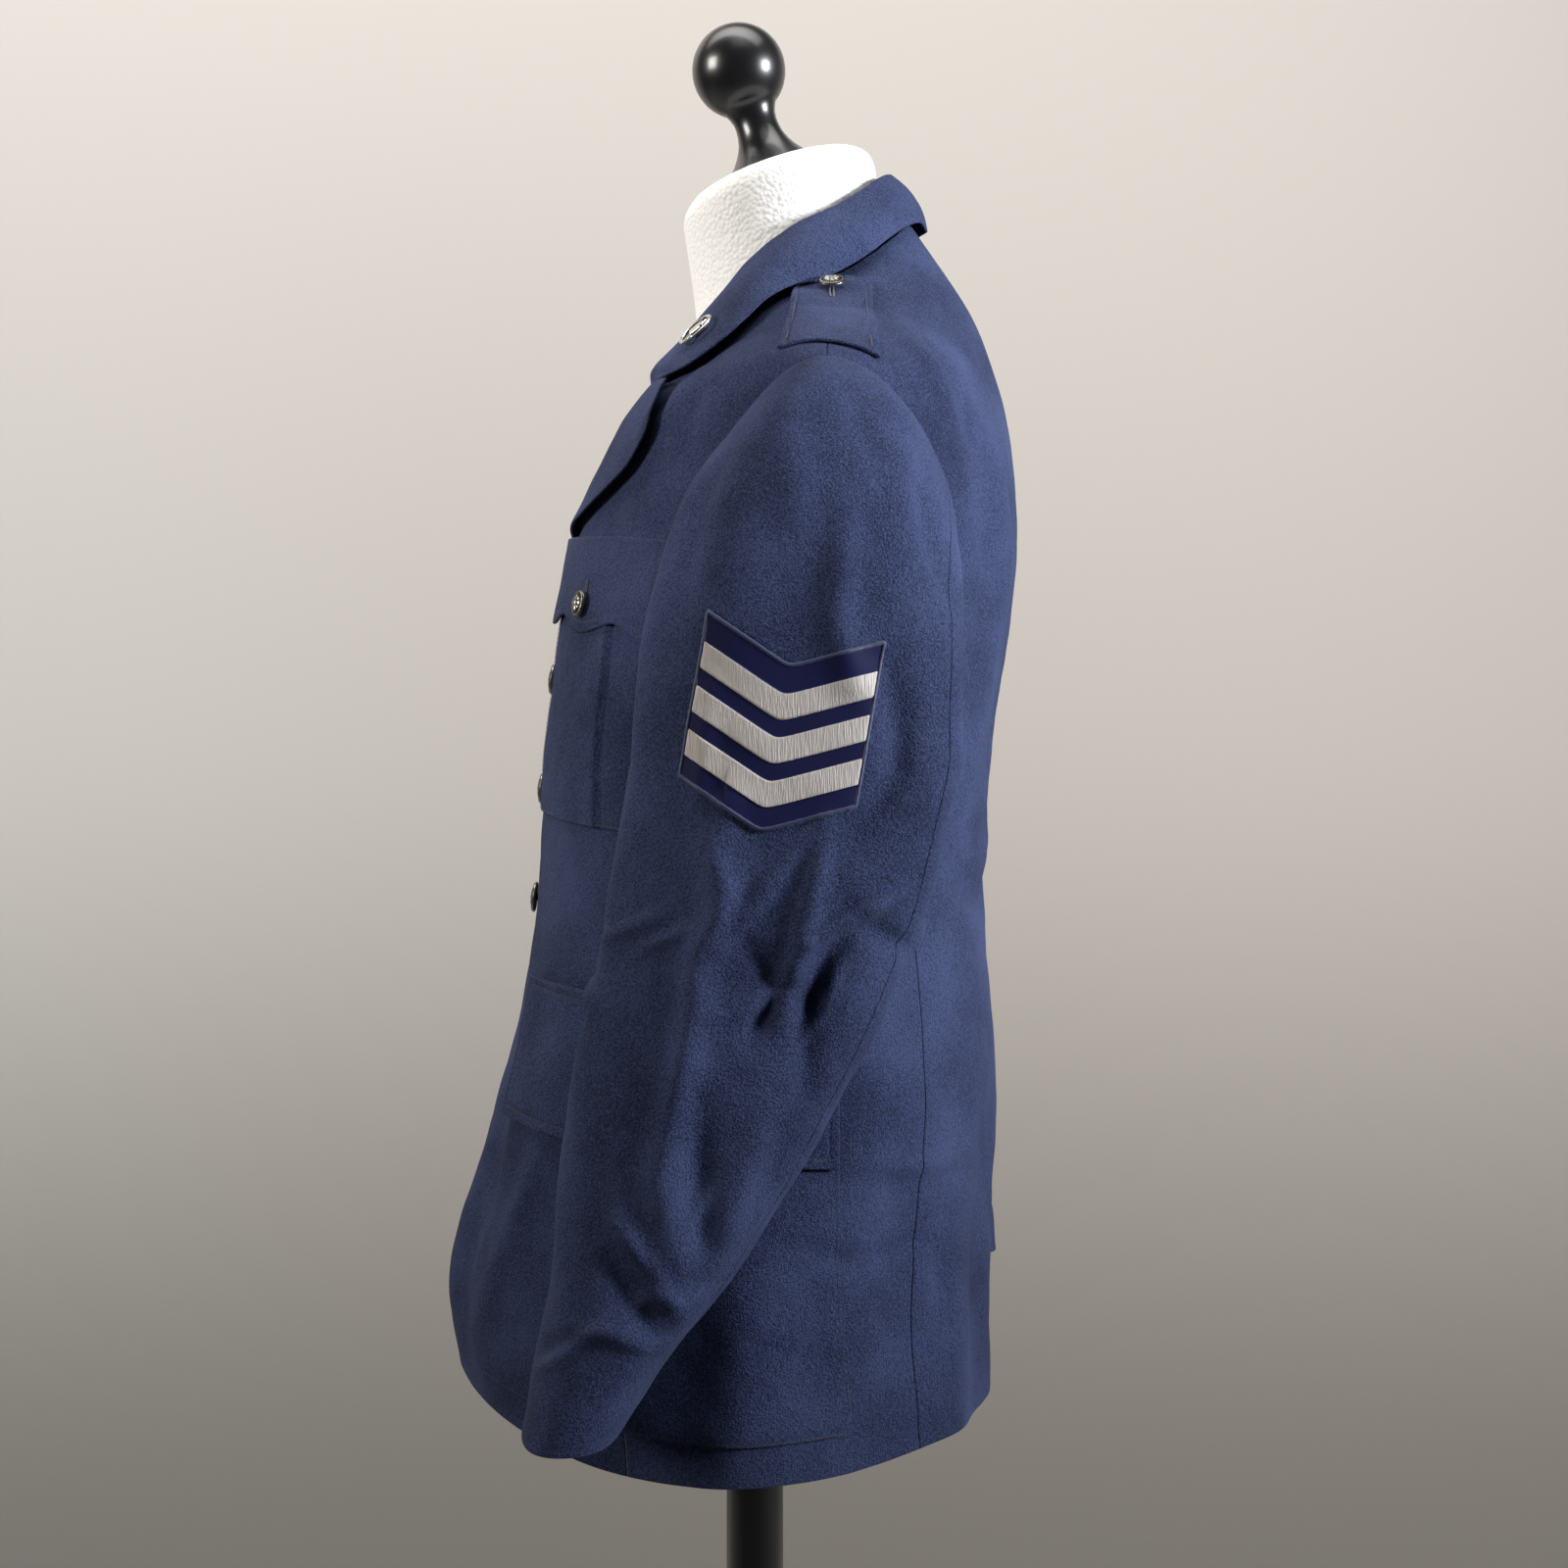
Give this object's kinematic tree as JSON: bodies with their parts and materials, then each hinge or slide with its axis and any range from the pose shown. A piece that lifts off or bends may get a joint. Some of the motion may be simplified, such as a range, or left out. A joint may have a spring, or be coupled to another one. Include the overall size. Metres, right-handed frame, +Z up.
{
  "type": "uniform blazer on a limbless dress form with a pole stand",
  "caption": "Dark blue uniform blazer with flapped patch pockets and shoulder straps, worn by a limbless foam dress form on a pole and a round base.",
  "frame": {"origin": "on the floor at the centre of the round base's underside, under the pole's axis", "axes": "+Z up, the coat's front faces -Y, its wearer's left is +X"},
  "size_m": [0.5931, 0.3754, 1.6981],
  "materials": {
    "worsted": "fine matt worsted, mid navy with a heather of lighter and darker threads",
    "foam": "off-white expanded foam with a fine bead grain",
    "black_paint": "glossy black paint",
    "button_metal": "antique silver, dark in the recesses",
    "badge_thread": "silver-white satin stitch on a navy ground"
  },
  "bodies": {
    "root": {"form_torso": "foam", "form_finial": "black_paint", "form_pole": "black_paint", "form_base": "black_paint", "front_left": "worsted", "front_right": "worsted", "side_left": "worsted", "side_right": "worsted", "back_left": "worsted", "back_right": "worsted", "lapel_left": "worsted", "lapel_right": "worsted", "sleeve_top_left": "worsted", "sleeve_top_right": "worsted", "sleeve_under_left": "worsted", "sleeve_under_right": "worsted", "epaulet_left": "worsted", "epaulet_right": "worsted", "chest_pocket_left": "worsted", "chest_pocket_right": "worsted", "chest_flap_left": "worsted", "chest_flap_right": "worsted", "lower_pocket_left": "worsted", "lower_pocket_right": "worsted", "lower_flap_left": "worsted", "lower_flap_right": "worsted", "collar_leaf": "worsted", "collar_stand": "worsted", "chest_button_left": "button_metal", "chest_button_right": "button_metal", "epaulet_button_left": "button_metal", "epaulet_button_right": "button_metal", "collar_badge_left": "button_metal", "collar_badge_right": "button_metal", "front_button_1": "button_metal", "front_button_2": "button_metal", "front_button_3": "button_metal", "front_button_4": "button_metal", "sleeve_badge_left": "badge_thread", "sleeve_badge_right": "badge_thread"}
  },
  "joints": []
}
